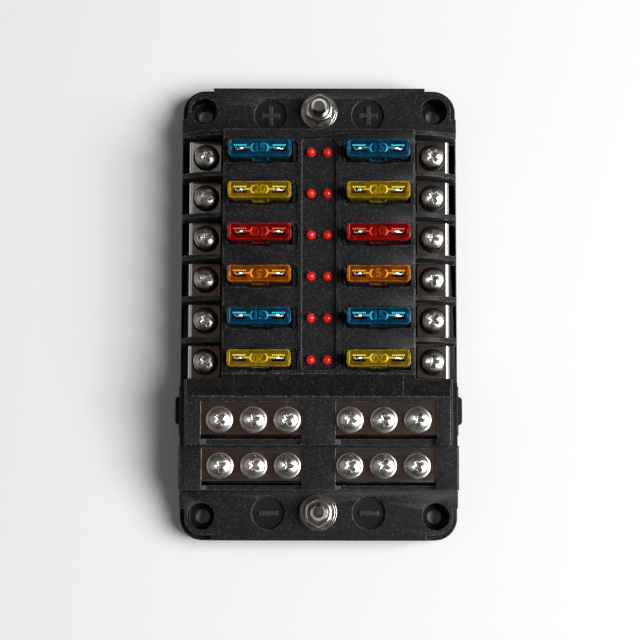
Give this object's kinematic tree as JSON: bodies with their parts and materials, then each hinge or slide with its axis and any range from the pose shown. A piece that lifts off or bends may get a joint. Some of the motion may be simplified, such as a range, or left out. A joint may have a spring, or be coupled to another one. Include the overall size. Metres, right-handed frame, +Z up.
{
  "type": "blade fuse block",
  "caption": "Blade fuse block with two columns of fused outputs, indicator lamps, and a stepped negative bus between two power studs.",
  "frame": {"origin": "bottom centre of the block, on the face that it is screwed down by", "axes": "+X across the block, +Y along it towards the positive stud, +Z up out of the mounting face"},
  "size_m": [0.089, 0.1412, 0.033],
  "materials": {
    "housing_plastic": "moulded, fine grained charcoal black",
    "base_plastic": "moulded, plain",
    "board_laminate": "glass laminate with solder mask",
    "lamp_red": "clear red epoxy",
    "bus_metal": "nickel plated sheet",
    "stud_steel": "stainless, turned",
    "screw_nickel": "nickel plated",
    "fuse_zinc": "bare zinc, stamped",
    "fuse_blue": "clear tinted nylon",
    "fuse_yellow": "clear tinted nylon",
    "fuse_red": "clear tinted nylon",
    "fuse_orange": "clear tinted nylon"
  },
  "bodies": {
    "block": {"housing": "housing_plastic", "base_plate": "base_plastic", "circuit_board": "board_laminate", "indicator_lamps": "lamp_red", "positive_bus": "bus_metal", "output_terminals": "bus_metal", "negative_bus": "bus_metal", "positive_stud": "stud_steel", "negative_stud": "stud_steel", "stud_washers": "stud_steel"},
    "fuse_01": {"fuse_body_01": "fuse_blue", "fuse_element_01": "fuse_zinc"},
    "fuse_02": {"fuse_body_02": "fuse_yellow", "fuse_element_02": "fuse_zinc"},
    "fuse_03": {"fuse_body_03": "fuse_red", "fuse_element_03": "fuse_zinc"},
    "fuse_04": {"fuse_body_04": "fuse_orange", "fuse_element_04": "fuse_zinc"},
    "fuse_05": {"fuse_body_05": "fuse_blue", "fuse_element_05": "fuse_zinc"},
    "fuse_06": {"fuse_body_06": "fuse_yellow", "fuse_element_06": "fuse_zinc"},
    "fuse_07": {"fuse_body_07": "fuse_blue", "fuse_element_07": "fuse_zinc"},
    "fuse_08": {"fuse_body_08": "fuse_yellow", "fuse_element_08": "fuse_zinc"},
    "fuse_09": {"fuse_body_09": "fuse_red", "fuse_element_09": "fuse_zinc"},
    "fuse_10": {"fuse_body_10": "fuse_orange", "fuse_element_10": "fuse_zinc"},
    "fuse_11": {"fuse_body_11": "fuse_blue", "fuse_element_11": "fuse_zinc"},
    "fuse_12": {"fuse_body_12": "fuse_yellow", "fuse_element_12": "fuse_zinc"},
    "terminal_screw_01": {"terminal_screw_01": "screw_nickel"},
    "terminal_screw_02": {"terminal_screw_02": "screw_nickel"},
    "terminal_screw_03": {"terminal_screw_03": "screw_nickel"},
    "terminal_screw_04": {"terminal_screw_04": "screw_nickel"},
    "terminal_screw_05": {"terminal_screw_05": "screw_nickel"},
    "terminal_screw_06": {"terminal_screw_06": "screw_nickel"},
    "terminal_screw_07": {"terminal_screw_07": "screw_nickel"},
    "terminal_screw_08": {"terminal_screw_08": "screw_nickel"},
    "terminal_screw_09": {"terminal_screw_09": "screw_nickel"},
    "terminal_screw_10": {"terminal_screw_10": "screw_nickel"},
    "terminal_screw_11": {"terminal_screw_11": "screw_nickel"},
    "terminal_screw_12": {"terminal_screw_12": "screw_nickel"},
    "bus_screw_01": {"bus_screw_01": "screw_nickel"},
    "bus_screw_02": {"bus_screw_02": "screw_nickel"},
    "bus_screw_03": {"bus_screw_03": "screw_nickel"},
    "bus_screw_04": {"bus_screw_04": "screw_nickel"},
    "bus_screw_05": {"bus_screw_05": "screw_nickel"},
    "bus_screw_06": {"bus_screw_06": "screw_nickel"},
    "bus_screw_07": {"bus_screw_07": "screw_nickel"},
    "bus_screw_08": {"bus_screw_08": "screw_nickel"},
    "bus_screw_09": {"bus_screw_09": "screw_nickel"},
    "bus_screw_10": {"bus_screw_10": "screw_nickel"},
    "bus_screw_11": {"bus_screw_11": "screw_nickel"},
    "bus_screw_12": {"bus_screw_12": "screw_nickel"},
    "positive_nut": {"positive_nut": "stud_steel"},
    "negative_nut": {"negative_nut": "stud_steel"}
  },
  "joints": [
    {"name": "fuse_01_pull", "type": "slide", "parent": "block", "child": "fuse_01", "axis": [0, 0, 1], "range_m": [0, 0.015]},
    {"name": "fuse_02_pull", "type": "slide", "parent": "block", "child": "fuse_02", "axis": [0, 0, 1], "range_m": [0, 0.015]},
    {"name": "fuse_03_pull", "type": "slide", "parent": "block", "child": "fuse_03", "axis": [0, 0, 1], "range_m": [0, 0.015]},
    {"name": "fuse_04_pull", "type": "slide", "parent": "block", "child": "fuse_04", "axis": [0, 0, 1], "range_m": [0, 0.015]},
    {"name": "fuse_05_pull", "type": "slide", "parent": "block", "child": "fuse_05", "axis": [0, 0, 1], "range_m": [0, 0.015]},
    {"name": "fuse_06_pull", "type": "slide", "parent": "block", "child": "fuse_06", "axis": [0, 0, 1], "range_m": [0, 0.015]},
    {"name": "fuse_07_pull", "type": "slide", "parent": "block", "child": "fuse_07", "axis": [0, 0, 1], "range_m": [0, 0.015]},
    {"name": "fuse_08_pull", "type": "slide", "parent": "block", "child": "fuse_08", "axis": [0, 0, 1], "range_m": [0, 0.015]},
    {"name": "fuse_09_pull", "type": "slide", "parent": "block", "child": "fuse_09", "axis": [0, 0, 1], "range_m": [0, 0.015]},
    {"name": "fuse_10_pull", "type": "slide", "parent": "block", "child": "fuse_10", "axis": [0, 0, 1], "range_m": [0, 0.015]},
    {"name": "fuse_11_pull", "type": "slide", "parent": "block", "child": "fuse_11", "axis": [0, 0, 1], "range_m": [0, 0.015]},
    {"name": "fuse_12_pull", "type": "slide", "parent": "block", "child": "fuse_12", "axis": [0, 0, 1], "range_m": [0, 0.015]},
    {"name": "terminal_screw_01_turn", "type": "hinge", "parent": "block", "child": "terminal_screw_01", "pos_m": [-0.0349, 0.04735, 0.016], "axis": [0, 0, 1], "range_deg": [0, 1440]},
    {"name": "terminal_screw_02_turn", "type": "hinge", "parent": "block", "child": "terminal_screw_02", "pos_m": [-0.0349, 0.03465, 0.016], "axis": [0, 0, 1], "range_deg": [0, 1440]},
    {"name": "terminal_screw_03_turn", "type": "hinge", "parent": "block", "child": "terminal_screw_03", "pos_m": [-0.0349, 0.02195, 0.016], "axis": [0, 0, 1], "range_deg": [0, 1440]},
    {"name": "terminal_screw_04_turn", "type": "hinge", "parent": "block", "child": "terminal_screw_04", "pos_m": [-0.0349, 0.00925, 0.016], "axis": [0, 0, 1], "range_deg": [0, 1440]},
    {"name": "terminal_screw_05_turn", "type": "hinge", "parent": "block", "child": "terminal_screw_05", "pos_m": [-0.0349, -0.00345, 0.016], "axis": [0, 0, 1], "range_deg": [0, 1440]},
    {"name": "terminal_screw_06_turn", "type": "hinge", "parent": "block", "child": "terminal_screw_06", "pos_m": [-0.0349, -0.01615, 0.016], "axis": [0, 0, 1], "range_deg": [0, 1440]},
    {"name": "terminal_screw_07_turn", "type": "hinge", "parent": "block", "child": "terminal_screw_07", "pos_m": [0.0349, 0.04735, 0.016], "axis": [0, 0, 1], "range_deg": [0, 1440]},
    {"name": "terminal_screw_08_turn", "type": "hinge", "parent": "block", "child": "terminal_screw_08", "pos_m": [0.0349, 0.03465, 0.016], "axis": [0, 0, 1], "range_deg": [0, 1440]},
    {"name": "terminal_screw_09_turn", "type": "hinge", "parent": "block", "child": "terminal_screw_09", "pos_m": [0.0349, 0.02195, 0.016], "axis": [0, 0, 1], "range_deg": [0, 1440]},
    {"name": "terminal_screw_10_turn", "type": "hinge", "parent": "block", "child": "terminal_screw_10", "pos_m": [0.0349, 0.00925, 0.016], "axis": [0, 0, 1], "range_deg": [0, 1440]},
    {"name": "terminal_screw_11_turn", "type": "hinge", "parent": "block", "child": "terminal_screw_11", "pos_m": [0.0349, -0.00345, 0.016], "axis": [0, 0, 1], "range_deg": [0, 1440]},
    {"name": "terminal_screw_12_turn", "type": "hinge", "parent": "block", "child": "terminal_screw_12", "pos_m": [0.0349, -0.01615, 0.016], "axis": [0, 0, 1], "range_deg": [0, 1440]},
    {"name": "bus_screw_01_turn", "type": "hinge", "parent": "block", "child": "bus_screw_01", "pos_m": [-0.0301, -0.034, 0.02], "axis": [0, 0, 1], "range_deg": [0, 1440]},
    {"name": "bus_screw_02_turn", "type": "hinge", "parent": "block", "child": "bus_screw_02", "pos_m": [-0.0198, -0.034, 0.02], "axis": [0, 0, 1], "range_deg": [0, 1440]},
    {"name": "bus_screw_03_turn", "type": "hinge", "parent": "block", "child": "bus_screw_03", "pos_m": [-0.0095, -0.034, 0.02], "axis": [0, 0, 1], "range_deg": [0, 1440]},
    {"name": "bus_screw_04_turn", "type": "hinge", "parent": "block", "child": "bus_screw_04", "pos_m": [0.0095, -0.034, 0.02], "axis": [0, 0, 1], "range_deg": [0, 1440]},
    {"name": "bus_screw_05_turn", "type": "hinge", "parent": "block", "child": "bus_screw_05", "pos_m": [0.0198, -0.034, 0.02], "axis": [0, 0, 1], "range_deg": [0, 1440]},
    {"name": "bus_screw_06_turn", "type": "hinge", "parent": "block", "child": "bus_screw_06", "pos_m": [0.0301, -0.034, 0.02], "axis": [0, 0, 1], "range_deg": [0, 1440]},
    {"name": "bus_screw_07_turn", "type": "hinge", "parent": "block", "child": "bus_screw_07", "pos_m": [-0.0301, -0.0478, 0.015], "axis": [0, 0, 1], "range_deg": [0, 1440]},
    {"name": "bus_screw_08_turn", "type": "hinge", "parent": "block", "child": "bus_screw_08", "pos_m": [-0.0198, -0.0478, 0.015], "axis": [0, 0, 1], "range_deg": [0, 1440]},
    {"name": "bus_screw_09_turn", "type": "hinge", "parent": "block", "child": "bus_screw_09", "pos_m": [-0.0095, -0.0478, 0.015], "axis": [0, 0, 1], "range_deg": [0, 1440]},
    {"name": "bus_screw_10_turn", "type": "hinge", "parent": "block", "child": "bus_screw_10", "pos_m": [0.0095, -0.0478, 0.015], "axis": [0, 0, 1], "range_deg": [0, 1440]},
    {"name": "bus_screw_11_turn", "type": "hinge", "parent": "block", "child": "bus_screw_11", "pos_m": [0.0198, -0.0478, 0.015], "axis": [0, 0, 1], "range_deg": [0, 1440]},
    {"name": "bus_screw_12_turn", "type": "hinge", "parent": "block", "child": "bus_screw_12", "pos_m": [0.0301, -0.0478, 0.015], "axis": [0, 0, 1], "range_deg": [0, 1440]},
    {"name": "positive_nut_turn", "type": "hinge", "parent": "block", "child": "positive_nut", "pos_m": [0, 0.063, 0.0143], "axis": [0, 0, 1], "range_deg": [0, 1800]},
    {"name": "negative_nut_turn", "type": "hinge", "parent": "block", "child": "negative_nut", "pos_m": [0, -0.062, 0.0143], "axis": [0, 0, 1], "range_deg": [0, 1800]}
  ]
}
